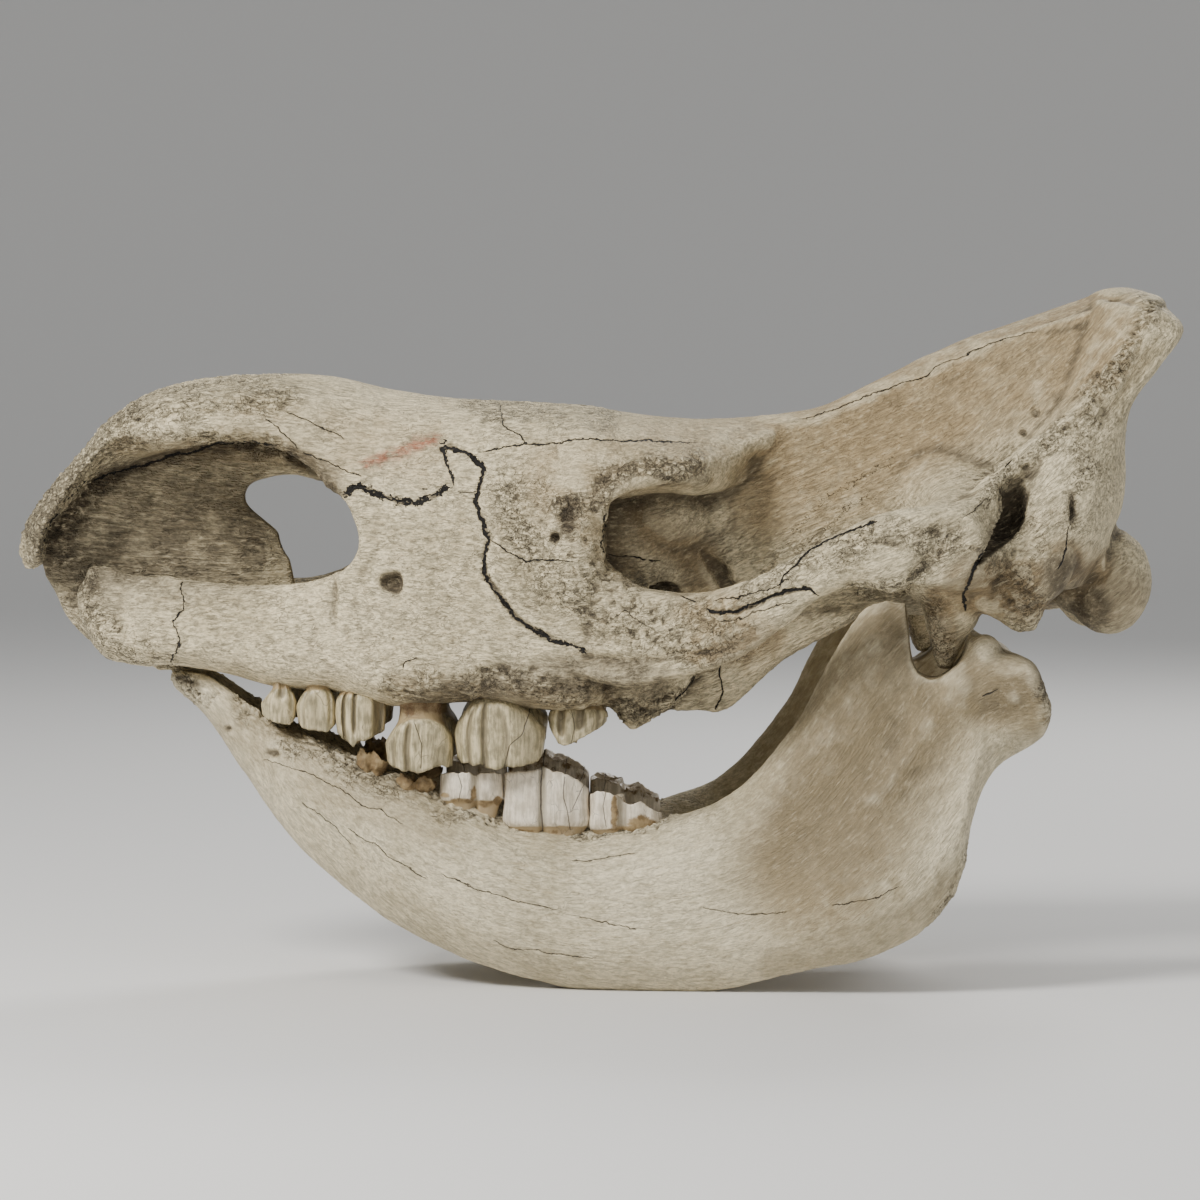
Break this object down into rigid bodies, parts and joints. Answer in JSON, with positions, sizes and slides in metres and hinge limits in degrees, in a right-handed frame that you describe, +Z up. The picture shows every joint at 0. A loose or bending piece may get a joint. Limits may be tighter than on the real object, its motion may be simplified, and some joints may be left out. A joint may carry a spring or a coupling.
{
  "type": "fossil rhinoceros skull",
  "caption": "Long fossil skull with a domed nasal roof, open nose, wide cheek arches and a swept-up back of the head, resting on its curved lower jaw with cheek teeth.",
  "frame": {"origin": "on the floor under the middle of the skull's bounding box", "axes": "+Z up, +X from the snout to the back of the head, -Y to the animal's left side"},
  "size_m": [0.7659, 0.3429, 0.4564],
  "materials": {
    "cranium_bone": "dry porous fossil bone, pale grey-beige with brown stains",
    "jaw_bone": "smooth dry fossil bone, paler than the cranium",
    "upper_enamel": "worn yellowish cream enamel with grey grooves",
    "lower_enamel": "worn off-white enamel with tan cement"
  },
  "bodies": {
    "root": {"cranium": "cranium_bone", "mandible": "jaw_bone", "upper_left_premolar_2": "upper_enamel", "upper_left_premolar_3": "upper_enamel", "upper_left_premolar_4": "upper_enamel", "upper_left_molar_1": "upper_enamel", "upper_left_molar_2": "upper_enamel", "upper_left_molar_3": "upper_enamel", "upper_right_premolar_2": "upper_enamel", "upper_right_premolar_3": "upper_enamel", "upper_right_premolar_4": "upper_enamel", "upper_right_molar_1": "upper_enamel", "upper_right_molar_2": "upper_enamel", "upper_right_molar_3": "upper_enamel", "lower_left_premolar_3": "lower_enamel", "lower_left_premolar_4": "lower_enamel", "lower_left_molar_1": "lower_enamel", "lower_left_molar_2": "lower_enamel", "lower_left_molar_3": "lower_enamel", "lower_right_premolar_3": "lower_enamel", "lower_right_premolar_4": "lower_enamel", "lower_right_molar_1": "lower_enamel", "lower_right_molar_2": "lower_enamel", "lower_right_molar_3": "lower_enamel"}
  },
  "joints": []
}
